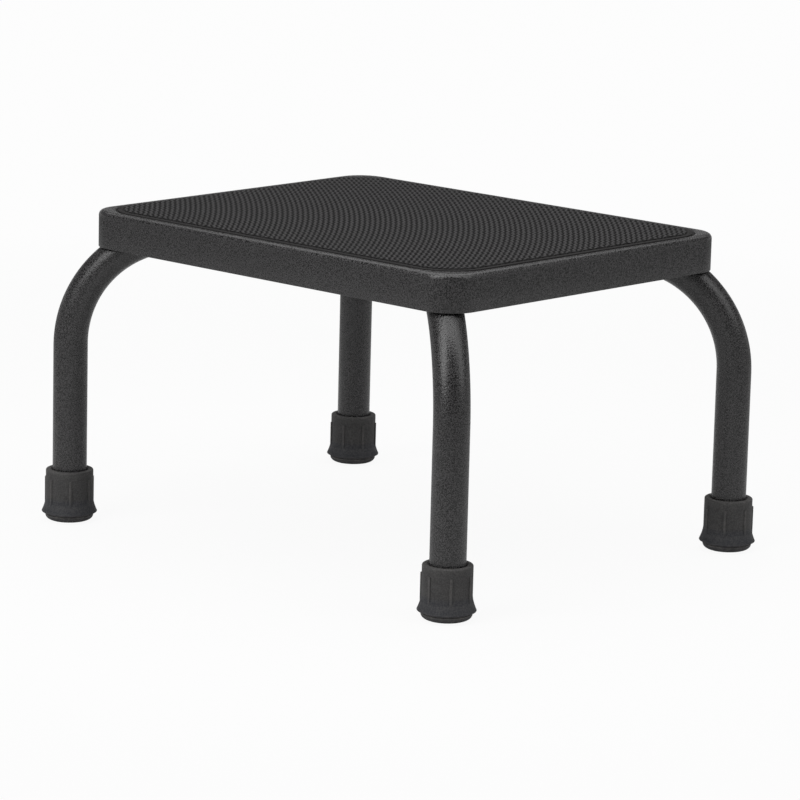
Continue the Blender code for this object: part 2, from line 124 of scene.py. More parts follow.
# Leg hoops
TUBE_RADIUS = 0.0127
TUBE_WALL = 0.0016
TUBE_END = TUBE_LOW.z
RUN_HEIGHT = TUBE_HIGH.z - TUBE_RADIUS
LEG_REACH = FEET["rear_right"].xy.length
LEG_ANGLE = math.atan2(FEET["rear_right"].y, FEET["rear_right"].x)
BOLT_REACH = BOLTS["rear_right"].xy.length
BOLT_FROM_BEND = 0.0360
BEND_RADIUS = LEG_REACH - BOLT_REACH - BOLT_FROM_BEND
BEND_START = RUN_HEIGHT - BEND_RADIUS
BEND_CENTRE = (LEG_REACH - BEND_RADIUS, 0, BEND_START)
BEND_OVALITY = 0.04  # how much flatter the bend's section gets
PRESSED_HALF_HEIGHT = (TUBE_RADIUS - SEAT_GAP / 2) / 2
PRESSED_FLAT = math.pi * (TUBE_RADIUS - PRESSED_HALF_HEIGHT) / 2
PRESSED_LIFT = TUBE_RADIUS - PRESSED_HALF_HEIGHT
CROSSING_FLAT = 0.0222
CROSSING_TAPER = 0.0400
DIMPLE_HOLE_END = RUN_HEIGHT + TUBE_RADIUS / 2  # the wide holes end here, inside the tube
BOLT_HOLE_END = RUN_HEIGHT + TUBE_RADIUS * 0.6  # the bolt holes end inside the wide ones

# Foot tips
TIP_HEIGHT = 0.0385
TIP_BORE = TUBE_RADIUS + SEAT_GAP
TIP_COLLAR = 0.0176
TIP_LIP = 0.0011
TIP_MOUTH = 0.0011  # bevel of the bore's mouth
TIP_FLOOR = 0.0120
TIP_FLARE = 0.0029
TIP_FLARE_TOP = 0.0170
TIP_FLARE_HEIGHT = 0.0066
TIP_FLARE_CURVE = 1.6  # power by which the flare widens downwards
TIP_FLARE_EDGE = 0.0004
TIP_FLARE_TURN = (20, -60)  # first and last angle of the flare's edge, in degrees
TIP_PUCK = 0.0178
TIP_PUCK_TOP = 0.0048
TIP_PUCK_EDGE = 0.0004
TIP_UNDERCUT = 0.0003  # groove between the flare and the puck
TIP_SOLE_ROUNDING = 0.0056
TIP_SOLE_WIDTH = 0.0055
TIP_HOLLOW_DEPTH = 0.0012
TIP_RIB_COUNT = 7
TIP_RIB_ROOT = TIP_BORE + 0.0015  # inside the collar
TIP_RIB_WIDTH = 0.0034  # at its root
TIP_RIB_TAPER = 0.5  # width of a rib's top as a share of its root's
TIP_RIB_PROUD = 0.0009
TIP_RIB_TOP = 0.0320
TIP_RIB_ROUNDING = 0.0003
TIP_TURNS = {"front_left": -40, "front_right": -39, "rear_right": -58, "rear_left": -20}  # in degrees

# Fasteners
HEXAGON = 6  # sides of the nuts and the sockets
BOLT_RADIUS = 0.0030
BOLT_HEAD_RADIUS = 0.0060
BOLT_HEAD_EDGE = 0.0003
BOLT_HOLE = BOLT_RADIUS + SEAT_GAP
BOLT_SOCKET = 0.0040 / math.sqrt(3)  # corner radius of the hexagon socket
BOLT_SOCKET_DEPTH = 0.0020
BOLT_CHAMFER = 0.0006
HEAD_BOTTOM = HEAD_TOP - (BOLT_HEAD_RADIUS - BOLT_RADIUS)
THREAD_PITCH = 0.0010
THREAD_DEPTH = 0.0005
THREAD_LENGTH = 0.0100
THREAD_STEP = THREAD_PITCH / 4  # between the rings of points along the thread
NUT_CORNER = 0.0100 / math.sqrt(3)  # corner radius of the hexagon
NUT_FACE = 0.0047  # radius of the flat that the chamfer leaves on a nut's end
NUT_CHAMFER = math.radians(30)
WASHER_RADIUS = 0.0090
WASHER_EDGE = 0.0003
DIMPLE_WALL = SHEET * math.sqrt(2)
DIMPLE_BOTTOM = HEAD_BOTTOM - SHEET / 2

# Fineness of the meshes
CORNER_STEPS = 16
EDGE_STEPS = 6
ROUNDING_STEPS = 3
RIB_ROUNDING_STEPS = 2
LIP_STEPS = 4
FLARE_STEPS = 8
SOLE_STEPS = 8
TUBE_SIDES = 56
BEND_STEPS = 36
TAPER_STEPS = 12
TIP_STEPS = 96
ROUND_STEPS = 48
THREAD_STEPS = 32
SMOOTH_ANGLE = math.radians(35)
WELD_REACH = 1e-6
FILL_SCALE = 100
TINY = 1e-5  # lengths below this count as none

# Shared grain and patches of the materials: scales, and the noise's values that make none and all
GRIT_FINENESS = 1.45  # the grit's scale over the pebbles'
SPECKLE_RANGE = (0.45, 0.55)
PATCH_RANGE = (0.35, 0.68)
SMUDGE_FINENESS = 5.0  # the smudges' scale over the patches'
SMUDGE_RANGE = (0.45, 0.75)

# Powder coat
COAT_GRAIN = {"Pebbles": 800.0, "Grit": 0.8}
COAT_PATCHES = {"Patches": 16.0}
COAT_DARK = (0.0005, 0.0005, 0.0005)
COAT_PALE = (0.054, 0.0515, 0.0532)
COAT_PATCH = (0.016, 0.0152, 0.0157)
COAT_PATCH_SHARE = 0.25
COAT_SMUDGE_SHARE = 0.3
COAT_ROUGHNESS = (0.22, 0.46)
COAT_SPECULAR = 0.6
COAT_BUMP = {"Strength": 1.0, "Distance": 0.00016}

# Tread rubber
TREAD_GRAIN = {"Pebbles": 1500.0, "Grit": 0.6}
TREAD_PATCHES = {"Patches": 12.0}
# painted shade in the valleys between the ribs and painted light on the rib tops
TREAD_VALLEY_PAINTED_SHADE = (0.003, 0.003, 0.003)
TREAD_TOP_PAINTED_LIGHT = (0.057, 0.0555, 0.0565)
TREAD_EDGING = (0.025, 0.024, 0.024)
TREAD_PATCH = (0.030, 0.030, 0.030)
TREAD_PATCH_SHARE = 0.15
TREAD_ROUGHNESS = (0.78, 0.9)
TREAD_SPECULAR = 0.12
TREAD_BUMP = {"Strength": 0.35, "Distance": 0.0002}

# Tip rubber
TIP_GRAIN = {"Pebbles": 700.0, "Grit": 0.6}
TIP_PATCHES = {"Patches": 60.0}
# dust along the rims, with painted highlights: a bright line on the puck's top edge and light edges on the
# ribs
TIP_DUST_AND_HIGHLIGHT_BY_HEIGHT = (
    (0.03, 0.30), (0.09, 0.45), (0.108, 1.0), (0.130, 1.0), (0.14, 0.1), (0.155, 0.1), (0.165, 0.3),
    (0.19, 0.1), (0.28, 0.0), (0.40, 0.12), (0.80, 0.18), (0.93, 0.22),
)  # share of the tip's height, and of the dust and painted highlight there; the full band at 0.108 to 0.130 is a painted highlight along the puck's top edge
TIP_DUST_AND_HIGHLIGHT_ON_SOLE = 0.0
TIP_DUST_AND_HIGHLIGHT_ON_LIP = 0.4
TIP_DUST_AND_HIGHLIGHT_ON_RIBS = 0.4
TIP_RIB_DUST_AND_HIGHLIGHT_RANGE = (TIP_COLLAR + 0.0004, TIP_COLLAR + 0.0008)  # radii from bare to dust and painted highlight on the ribs' edges
TIP_DUST_AND_HIGHLIGHT_BREAKS = (0.35, 1.0)  # share of the dust and painted highlight between the smudges and in them
TIP_PLAIN = (0.030, 0.030, 0.031)
TIP_PATCH = (0.046, 0.045, 0.045)
TIP_BLUISH = (0.026, 0.028, 0.034)
TIP_BLUISH_SHARE = 0.8  # below the flare's top
TIP_SPECK = (0.105, 0.103, 0.103)
TIP_SPECK_SHARE = 0.30
# colour of the dust and of the painted highlights on the puck's top edge and the ribs' edges
TIP_DUST_AND_HIGHLIGHT = (0.200, 0.190, 0.182)
TIP_ROUGHNESS = (0.58, 0.75)
TIP_SPECULAR = 0.2
TIP_BUMP = {"Strength": 0.3, "Distance": 0.0002}

# Zinc plating
ZINC_GRAIN = {"Pebbles": 2600.0, "Grit": 0.8}
ZINC_PATCHES = {"Patches": 150.0}
ZINC_DULL = (0.50, 0.50, 0.48)
ZINC_BRIGHT = (0.62, 0.62, 0.61)
ZINC_ROUGHNESS = (0.28, 0.45)
ZINC_BUMP = {"Strength": 0.08, "Distance": 0.0001}

# Floor and background
WHITE = (1, 1, 1)
FLOOR_SIZE = 24
FLOOR_DROP = 0.0002  # keeps the floor clear of the soles
FLOOR_FADE = (0.45, 1.35)  # distances from the stool's middle where near ends and far starts
# the floor's own colour is a painted pool of light: pale near the stool, dark far out
FLOOR_POOL_NEAR = (0.68, 0.68, 0.68)
FLOOR_POOL_FAR = (0.08, 0.08, 0.08)
FLOOR_WHITENESS = (0.93, 0.98)  # share of plain white that the camera sees, near and far
FLOOR_MIRRORED = 0.20  # the same share in what mirrors the floor
CEILING = (0.15, 0.15, 0.15)
CEILING_RISE = (0.0, 0.15)  # upright part of the directions where white ends and the ceiling starts
WORLD_LIGHT = 0.12

# Lights: place as seen_from_camera takes it, width and height, watts
LIGHTS_AIM = (0, 0, 0.15)
SOFTBOXES = {
    "overhead_box": ((0, 0.72, 1.93), (3.0, 1.4), 22),
    "front_box": ((0, -0.52, 1.38), (1.4, 0.5), 6.5),
    "left_box": ((-1.487, -1.248, 1.56), (1.4, 1.8), 28),
    "right_box": ((1.82, -0.706, 1.56), (1.3, 1.8), 13),
}

# Camera
CAMERA_AZIMUTH = math.radians(43.155)
CAMERA_ELEVATION = math.radians(11.772)
CAMERA_ROLL = math.radians(1.435)
CAMERA_DISTANCE = 2.9119
CAMERA_LENS = 178.4  # in millimetres, like the sensor
CAMERA_SENSOR = 36
CAMERA_RANGE = 50
CAMERA_AIM = Vector((0.0005, 0.0006, 0.1007))


def begin(name):
    """Open a new, empty piece in edit mode, at the origin."""
    bpy.ops.object.select_all(action="DESELECT")
    bpy.ops.object.add(type="MESH", location=(0, 0, 0))
    piece = bpy.context.object
    piece.name = piece.data.name = name
    bpy.ops.object.mode_set(mode="EDIT")
    return piece


def pick(kind, wanted):
    """Select only the points, edges or faces of the open piece that pass a test."""
    bpy.ops.mesh.select_mode(type=kind)
    bpy.ops.mesh.select_all(action="DESELECT")
    mesh = bpy.context.object.data
    shape = bmesh.from_edit_mesh(mesh)
    parts = {"VERT": shape.verts, "EDGE": shape.edges, "FACE": shape.faces}[kind]
    for part in parts:
        if wanted(part):
            part.select_set(True)
    bmesh.update_edit_mesh(mesh)


def pick_all():
    """Select the whole of the open piece."""
    bpy.ops.mesh.select_all(action="SELECT")


def pick_hidden():
    """Bring back what was hidden in the open piece and select only that."""
    bpy.ops.mesh.select_all(action="DESELECT")
    bpy.ops.mesh.reveal()


def level(part, height):
    """Is an edge or a face flat at a height?"""
    return all(abs(vert.co.z - height) < TINY for vert in part.verts)


def sharp(edge):
    """Do an edge's two faces meet at a corner?"""
    return len(edge.link_faces) == 2 and edge.calc_face_angle() > SMOOTH_ANGLE


def extrude(x=0, y=0, z=0):
    """Extrude what is selected and move it."""
    bpy.ops.mesh.extrude_region_move(TRANSFORM_OT_translate={"value": (x, y, z)})


def turn_about_z(angle):
    """Turn what is selected about the Z axis, anticlockwise from above."""
    bpy.ops.transform.rotate(value=-angle, orient_axis="Z", center_override=(0, 0, 0))


def round_off(radius, steps=ROUNDING_STEPS):
    """Round the selected edges."""
    bpy.ops.mesh.bevel(affect="EDGES", offset=radius, segments=steps, clamp_overlap=False)


def weld():
    """Merge doubles in what is selected and turn its faces outwards."""
    bpy.ops.mesh.remove_doubles(threshold=WELD_REACH)
    bpy.ops.mesh.normals_make_consistent(inside=False)


def clean_up():
    """Weld the whole of the open piece."""
    pick_all()
    weld()


def thicken(piece, wall):
    """Give the open piece's sheet its thickness, inwards."""
    bpy.ops.object.mode_set(mode="OBJECT")
    sheet = piece.modifiers.new("wall", "SOLIDIFY")
    sheet.thickness = wall
    sheet.offset = -1
    sheet.use_even_offset = True
    sheet.use_quality_normals = True
    bpy.ops.object.modifier_apply(modifier=sheet.name)
    bpy.ops.object.mode_set(mode="EDIT")


def fill_between_outlines(height):
    """Close the flat ring between the open outlines at a height.

    The piece is scaled up for it, because fill drops short edges.
    """
    pick_all()
    bpy.ops.transform.resize(value=(FILL_SCALE,) * 3, center_override=(0, 0, height))
    pick("EDGE", lambda edge: level(edge, height) and len(edge.link_faces) < 2)
    bpy.ops.mesh.fill()
    pick_all()
    bpy.ops.transform.resize(value=(1 / FILL_SCALE,) * 3, center_override=(0, 0, height))


def combine(operation, solver="FAST"):
    """Cut what is selected out of the rest of the open piece, join it on, or keep what both share."""
    bpy.ops.mesh.intersect_boolean(operation=operation, solver=solver)


def add_cylinder(radius, bottom, top, spot=(0, 0), sides=ROUND_STEPS):
    """Add an upright cylinder to the open piece."""
    place = (spot[0], spot[1], (bottom + top) / 2)
    bpy.ops.mesh.primitive_cylinder_add(vertices=sides, radius=radius, depth=top - bottom, location=place)


def add_cone(bottom_radius, top_radius, bottom, top, spot=(0, 0)):
    """Add an upright cone, cut off flat, to the open piece."""
    place = (spot[0], spot[1], (bottom + top) / 2)
    bpy.ops.mesh.primitive_cone_add(
        vertices=ROUND_STEPS, radius1=bottom_radius, radius2=top_radius, depth=top - bottom, location=place
    )


def add_turned(profile, steps):
    """Draw a line of (radius, height) points in the open piece and spin it about the Z axis."""
    points = [Vector((radius, 0, height)) for radius, height in profile]
    bpy.ops.mesh.select_mode(type="VERT")
    bpy.ops.mesh.primitive_plane_add(size=TINY, location=points[0])
    bpy.ops.mesh.merge(type="CENTER")
    for start, end in zip(points, points[1:]):
        extrude(*(end - start))
    bpy.ops.mesh.select_linked()
    bpy.ops.mesh.spin(steps=steps, angle=2 * math.pi, center=(0, 0, 0), axis=(0, 0, 1))
    bpy.ops.mesh.select_linked()
    weld()


def arc(centre, radius, start, end, steps):
    """Points of a round stretch of a profile, with its angles in degrees."""
    points = []
    for step in range(steps + 1):
        angle = math.radians(start + (end - start) * step / steps)
        points.append((centre[0] + radius * math.cos(angle), centre[1] + radius * math.sin(angle)))
    return points


def close_piece(piece, material):
    """Close the open piece, smooth its round sides and give it its finish."""
    clean_up()
    bpy.ops.object.mode_set(mode="OBJECT")
    bpy.ops.object.shade_smooth_by_angle(angle=SMOOTH_ANGLE)
    piece.data.materials.append(material)


def hand_over(piece, node):
    """Let a finished piece ride on the stool and stand for its solid."""
    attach(piece, "root")
    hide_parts(node)


def copy_piece(piece, name, spot, turn):
    """A copy of a finished piece, with its own mesh, set down at a spot and turned."""
    bpy.ops.object.select_all(action="DESELECT")
    bpy.context.view_layer.objects.active = piece
    piece.select_set(True)
    bpy.ops.object.duplicate()
    copy = bpy.context.object
    copy.name = copy.data.name = name
    copy.location = (spot[0], spot[1], 0)
    copy.rotation_euler.z = turn
    bpy.ops.object.transform_apply(location=True, rotation=True, scale=True)
    return copy


def set_out(master, copies):
    """Replace a master piece by its copies: {name: (spot, turn, node)}."""
    for name, (spot, turn, node) in copies.items():
        hand_over(copy_piece(master, name, spot, turn), node)
    bpy.data.objects.remove(master)


def add_plate(half_x, half_y, radius, height):
    """Add a flat plate with round corners to the open piece."""
    bpy.ops.mesh.primitive_plane_add(size=2, location=(0, 0, height))
    bpy.ops.transform.resize(value=(half_x, half_y, 1), center_override=(0, 0, height))
    bpy.ops.mesh.bevel(affect="VERTICES", offset=radius, segments=CORNER_STEPS)
    bpy.ops.mesh.select_linked()


def model_pan(coat):
    """Pressed pan: skirt, rounded rim and recess in one sheet, with a dimple for each bolt's head."""
    pan = begin("coated_pan")
    add_plate(PAN_HIGH.x, PAN_HIGH.y, PAN_CORNER, RIM_TOP)
    extrude(z=SKIRT_BOTTOM - RIM_TOP)
    pick("FACE", lambda face: level(face, SKIRT_BOTTOM))
    bpy.ops.mesh.delete(type="FACE")
    pick("EDGE", lambda edge: level(edge, RIM_TOP))
    round_off(EDGE_RADIUS, EDGE_STEPS)
    recess_x, recess_y = PAN_HIGH.x - RIM_WIDTH, PAN_HIGH.y - RIM_WIDTH
    add_plate(recess_x, recess_y, RECESS_CORNER, RIM_TOP)
    extrude(z=-RECESS_DEPTH)
    lean = (1 - RECESS_LEAN / recess_x, 1 - RECESS_LEAN / recess_y, 1)
    bpy.ops.transform.resize(value=lean, center_override=(0, 0, RECESS_FLOOR))
    pick("FACE", lambda face: level(face, RIM_TOP))
    bpy.ops.mesh.delete(type="ONLY_FACE")
    fill_between_outlines(RIM_TOP)
    clean_up()
    thicken(pan, SHEET)

    pick("EDGE", lambda edge: sharp(edge) and level(edge, RIM_TOP))
    round_off(RECESS_LIP)
    pick("EDGE", lambda edge: sharp(edge) and level(edge, RECESS_FLOOR))
    round_off(RECESS_FILLET)
    pick("EDGE", lambda edge: sharp(edge) and level(edge, SKIRT_BOTTOM))
    round_off(SHEET_EDGE_ROUNDING)

    top_radius = BOLT_RADIUS + CUP_TOP - HEAD_BOTTOM + DIMPLE_WALL
    bottom_radius = BOLT_RADIUS + DIMPLE_BOTTOM - HEAD_BOTTOM + DIMPLE_WALL
    countersink = [
        (0, RIM_TOP),
        (BOLT_HOLE + RIM_TOP - HEAD_BOTTOM, RIM_TOP),
        (BOLT_HOLE, HEAD_BOTTOM),
        (BOLT_HOLE, DIMPLE_BOTTOM - OVERSHOOT),
        (0, DIMPLE_BOTTOM - OVERSHOOT),
    ]
    for spot in BOLTS.values():
        add_cone(bottom_radius, top_radius, DIMPLE_BOTTOM, CUP_TOP, spot)
        bpy.ops.mesh.hide()
    pick_hidden()
    combine("UNION")
    for spot in BOLTS.values():
        add_turned(countersink, ROUND_STEPS)
        bpy.ops.transform.translate(value=(spot.x, spot.y, 0))
        bpy.ops.mesh.hide()
    pick_hidden()
    combine("DIFFERENCE")
    close_piece(pan, coat)
    hand_over(pan, "platform_pan")


def bow_ribs():
    """Curve the ribs of the open field, which run along Y, in one wide bow."""
    mesh = bpy.context.object.data
    shape = bmesh.from_edit_mesh(mesh)
    for vert in shape.verts:
        vert.co.x -= RIB_BOW * (vert.co.y - RIB_BOW_MIDDLE)**2
    bmesh.update_edit_mesh(mesh)


def model_ribbed_field():
    """The tread's field: a fine grid with every rib raised and swung from side to side."""
    field = begin("ribbed_field")
    half_x, half_y = MAT_HIGH.x - TREAD_BORDER, MAT_HIGH.y - TREAD_BORDER
    radius = MAT_CORNER - TREAD_BORDER
    reach = (half_x + half_y) / math.sqrt(2)
    bow = RIB_BOW * (reach + abs(RIB_BOW_MIDDLE))**2
    ribs = math.ceil(2 * (reach + bow) / RIB_PITCH)
    zigzags = math.ceil(2 * reach / RIB_WAVE)
    valley = MAT_HIGH.z - RIB_HEIGHT
    width, length = ribs * RIB_PITCH, zigzags * RIB_WAVE
    bpy.ops.mesh.primitive_grid_add(
        x_subdivisions=RIB_COLUMNS * ribs, y_subdivisions=2 * zigzags, size=1, location=(0, 0, valley)
    )
    bpy.ops.transform.resize(value=(width, length, 1), center_override=(0, 0, valley))

    def column(vert):
        """Which column of the grid a point is in."""
        return round((vert.co.x + width / 2) / (RIB_PITCH / RIB_COLUMNS))

    def row(vert):
        """Which row of the grid a point is in."""
        return round((vert.co.y + length / 2) / (RIB_WAVE / 2))

    pick("VERT", lambda vert: column(vert) % RIB_COLUMNS in RAISED_COLUMNS)
    bpy.ops.transform.translate(value=(0, 0, RIB_HEIGHT))
    pick("VERT", lambda vert: row(vert) % 2)
    bpy.ops.transform.translate(value=(2 * RIB_SWAY, 0, 0))
    bow_ribs()
    pick_all()
    turn_about_z(RIB_ANGLE)
    for quarter, (sign_x, sign_y) in enumerate(((1, 1), (-1, 1), (-1, -1), (1, -1))):
        centre = Vector((sign_x * (half_x - radius), sign_y * (half_y - radius), 0))
        for step in range(CORNER_STEPS // 2):
            angle = math.pi / 2 * (quarter + 2 * step / CORNER_STEPS)
            outward = Vector((math.cos(angle), math.sin(angle), 0))
            pick_all()
            bpy.ops.mesh.bisect(plane_co=centre + outward * radius, plane_no=outward, clear_outer=True)
    border = valley - BORDER_DROP
    pick("EDGE", lambda edge: edge.is_boundary)
    extrude(z=border - valley)
    bpy.ops.transform.resize(value=(1, 1, 0), center_override=(0, 0, border))
    bpy.ops.object.mode_set(mode="OBJECT")
    return field, border


def model_tread(rubber):
    """Rubber tread: a slab with a smooth border round a field of zigzag ribs."""
    field, border = model_ribbed_field()
    tread = begin("ribbed_tread")
    add_plate(MAT_HIGH.x, MAT_HIGH.y, MAT_CORNER, MAT_LOW.z)
    extrude(z=border - MAT_LOW.z)
    pick("EDGE", lambda edge: level(edge, border))
    round_off(MAT_EDGE_ROUNDING)
    pick("FACE", lambda face: level(face, border))
    bpy.ops.mesh.delete(type="ONLY_FACE")
    bpy.ops.object.mode_set(mode="OBJECT")
    field.select_set(True)
    bpy.ops.object.join()
    bpy.ops.object.mode_set(mode="EDIT")
    fill_between_outlines(border)
    close_piece(tread, rubber)
    hand_over(tread, "tread_mat")


def press_end_ring(before, after, side):
    """Press the tube's open end, which is selected, from one share of its flattening to the next."""
    def radius(press):
        """Radius of the tube's round sides at a share of the flattening."""
        return TUBE_RADIUS + (PRESSED_HALF_HEIGHT - TUBE_RADIUS) * press

    mesh = bpy.context.object.data
    shape = bmesh.from_edit_mesh(mesh)
    ring = [vert for vert in shape.verts if vert.select]
    old_height = RUN_HEIGHT + side * PRESSED_LIFT * before
    new_height = RUN_HEIGHT + side * PRESSED_LIFT * after
    for vert in ring:
        half = 0 if abs(vert.co.y) < TINY else math.copysign(1, vert.co.y)
        across = (vert.co.y - half * PRESSED_FLAT * before) / radius(before)
        up = (vert.co.z - old_height) / radius(before)
        vert.co.y = across * radius(after) + half * PRESSED_FLAT * after
        vert.co.z = up * radius(after) + new_height
    bmesh.update_edit_mesh(mesh)


def flatten_bend():
    """Give the bend of the open hoop the slightly oval section that bending leaves."""
    mesh = bpy.context.object.data
    shape = bmesh.from_edit_mesh(mesh)
    centre = Vector(BEND_CENTRE)
    for vert in shape.verts:
        arm = Vector((vert.co.x - centre.x, 0, vert.co.z - centre.z))
        if arm.x > TINY and arm.z > TINY:
            tilt = math.atan2(arm.z, arm.x)
            oval = 1 - BEND_OVALITY * math.sin(2 * tilt)
            reach = BEND_RADIUS + (arm.length - BEND_RADIUS) * oval
            vert.co = centre + arm.normalized() * reach + Vector((0, vert.co.y, 0))
    bmesh.update_edit_mesh(mesh)


def model_hoop(name, node, angle, side, coat):
    """Bent tube across one diagonal, pressed flat at its middle above (1) or below (-1) the other."""
    hoop = begin(name)
    bpy.ops.mesh.primitive_circle_add(
        vertices=TUBE_SIDES, radius=TUBE_RADIUS, location=(LEG_REACH, 0, TUBE_END), fill_type="NOTHING"
    )
    extrude(z=BEND_START - TUBE_END)
    bpy.ops.mesh.spin(steps=BEND_STEPS, angle=math.pi / 2, center=BEND_CENTRE, axis=(0, 1, 0))
    flatten_bend()
    extrude(x=CROSSING_FLAT + CROSSING_TAPER - BEND_CENTRE[0])
    press = 0
    for step in range(1, TAPER_STEPS + 1):
        share = step / TAPER_STEPS
        next_press = share * share * (3 - 2 * share)  # starts and ends gently
        extrude(x=-CROSSING_TAPER / TAPER_STEPS)
        press_end_ring(press, next_press, side)
        press = next_press
    extrude(x=-CROSSING_FLAT)
    pick_all()
    bpy.ops.mesh.symmetrize(direction="POSITIVE_X", threshold=WELD_REACH)
    clean_up()
    thicken(hoop, TUBE_WALL)

    dimple_hole = BOLT_RADIUS + UNDERSIDE - HEAD_BOTTOM + DIMPLE_WALL + SEAT_GAP
    for along in (-BOLT_REACH, 0, BOLT_REACH):
        add_cylinder(dimple_hole, DIMPLE_HOLE_END, UNDERSIDE + OVERSHOOT, (along, 0))
        combine("DIFFERENCE")
        add_cylinder(BOLT_HOLE, RUN_HEIGHT - TUBE_RADIUS - OVERSHOOT, BOLT_HOLE_END, (along, 0))
        combine("DIFFERENCE")
    pick_all()
    turn_about_z(angle)
    close_piece(hoop, coat)
    hand_over(hoop, node)


def tip_profile():
    """Half section of a foot tip, from the floor inside, up the bore and down the outside."""
    flare = []
    for step in range(FLARE_STEPS):
        share = step / FLARE_STEPS
        height = TIP_FLARE_TOP + (TIP_FLARE_HEIGHT - TIP_FLARE_TOP) * share
        flare.append((TIP_COLLAR + TIP_FLARE * share**TIP_FLARE_CURVE, height))
    flare_radius = TIP_COLLAR + TIP_FLARE - TIP_FLARE_EDGE
    groove = (TIP_PUCK - TIP_UNDERCUT, TIP_PUCK_TOP + TIP_PUCK_EDGE)
    puck_edge = (TIP_PUCK - TIP_PUCK_EDGE, TIP_PUCK_TOP - TIP_PUCK_EDGE)
    sole = TIP_PUCK - TIP_SOLE_ROUNDING
    hollow = sole - TIP_SOLE_WIDTH
    bowl_height = TIP_PUCK_TOP - 2 * TIP_PUCK_EDGE
    bowl = [
        (across, bowl_height + (height - bowl_height) * bowl_height / TIP_SOLE_ROUNDING)
        for across, height in arc((sole, bowl_height), TIP_SOLE_ROUNDING, 0, -90, SOLE_STEPS)
    ]
    return [
        (0, TIP_FLOOR),
        (TIP_BORE, TIP_FLOOR),
        (TIP_BORE, TIP_HEIGHT - TIP_MOUTH),
        (TIP_BORE + TIP_MOUTH, TIP_HEIGHT),
        *arc((TIP_COLLAR - TIP_LIP, TIP_HEIGHT - TIP_LIP), TIP_LIP, 90, 0, LIP_STEPS),
        (TIP_COLLAR, TIP_RIB_TOP),
        *flare,
        *arc((flare_radius, TIP_FLARE_HEIGHT), TIP_FLARE_EDGE, *TIP_FLARE_TURN, ROUNDING_STEPS),
        groove,
        *arc(puck_edge, TIP_PUCK_EDGE, 90, 0, ROUNDING_STEPS),
        *bowl,
        (hollow, 0),
        (hollow - TIP_HOLLOW_DEPTH, TIP_HOLLOW_DEPTH),
        (0, TIP_HOLLOW_DEPTH),
    ]


def model_feet(rubber):
    """A ribbed rubber tip under each leg, modelled once and copied."""
    master = begin("foot_master")
    outer = TIP_COLLAR + TIP_RIB_PROUD
    rib_middle = ((TIP_RIB_ROOT + outer) / 2, 0, (TIP_FLARE_HEIGHT + TIP_RIB_TOP) / 2)
    bpy.ops.mesh.primitive_cube_add(size=1, location=rib_middle)
    rib_size = (outer - TIP_RIB_ROOT, TIP_RIB_WIDTH, TIP_RIB_TOP - TIP_FLARE_HEIGHT)
    bpy.ops.transform.resize(value=rib_size, center_override=rib_middle)
    pick("FACE", lambda face: all(vert.co.x > outer - TINY for vert in face.verts))
    bpy.ops.transform.resize(value=(1, TIP_RIB_TAPER, 1), center_override=rib_middle)
    pick("EDGE", lambda edge: all(vert.co.x > outer - TINY for vert in edge.verts))
    round_off(TIP_RIB_ROUNDING, RIB_ROUNDING_STEPS)
    pick_all()
    for _ in range(TIP_RIB_COUNT - 1):
        bpy.ops.mesh.duplicate()
        turn_about_z(2 * math.pi / TIP_RIB_COUNT)
    add_turned(tip_profile(), TIP_STEPS)
    combine("UNION", solver="EXACT")
    close_piece(master, rubber)
    copies = {}
    for corner in CORNERS:
        turn = math.radians(TIP_TURNS[corner])
        copies[f"rubber_foot_{corner}"] = (FEET[corner], turn, f"foot_tip_{corner}")
    set_out(master, copies)


def cut_thread():
    """Cut the thread into the lower shank of the open bolt."""
    mesh = bpy.context.object.data
    shape = bmesh.from_edit_mesh(mesh)
    for vert in shape.verts:
        radius = vert.co.xy.length
        if radius > BOLT_RADIUS - TINY and vert.co.z < BOLT_END + THREAD_LENGTH:
            angle = math.atan2(vert.co.y, vert.co.x) / (2 * math.pi)
            phase = (vert.co.z / THREAD_PITCH - angle) % 1
            depth = THREAD_DEPTH * abs(2 * phase - 1)
            vert.co.x *= (radius - depth) / radius
            vert.co.y *= (radius - depth) / radius
    bmesh.update_edit_mesh(mesh)


def model_bolts(zinc):
    """Countersunk bolts with a hexagon socket and a threaded end."""
    master = begin("bolt_master")
    rings = round((THREAD_LENGTH - BOLT_CHAMFER) / THREAD_STEP)
    shank = [(BOLT_RADIUS, BOLT_END + THREAD_LENGTH - THREAD_STEP * ring) for ring in range(rings)]
    add_turned([
        (0, HEAD_TOP),
        (BOLT_HEAD_RADIUS - BOLT_HEAD_EDGE, HEAD_TOP),
        (BOLT_HEAD_RADIUS, HEAD_TOP - BOLT_HEAD_EDGE),
        (BOLT_RADIUS, HEAD_BOTTOM),
        *shank,
        (BOLT_RADIUS - BOLT_CHAMFER, BOLT_END),
        (0, BOLT_END),
    ], THREAD_STEPS)
    cut_thread()
    add_cylinder(BOLT_SOCKET, HEAD_TOP - BOLT_SOCKET_DEPTH, HEAD_TOP + OVERSHOOT, sides=HEXAGON)
    combine("DIFFERENCE")
    close_piece(master, zinc)
    set_out(master, fastener_copies("bolt", "screw"))


def fastener_copies(node, name):
    """Where the copies of a fastener go: {piece: (spot, turn, node)}."""
    copies = {}
    for corner, spot in BOLTS.items():
        turn = math.atan2(spot.y, spot.x) if corner != "centre" else 0
        solid = f"centre_{node}" if corner == "centre" else f"{node}_{corner}"
        copies[f"{name}_{corner}"] = (spot, turn, solid)
    return copies


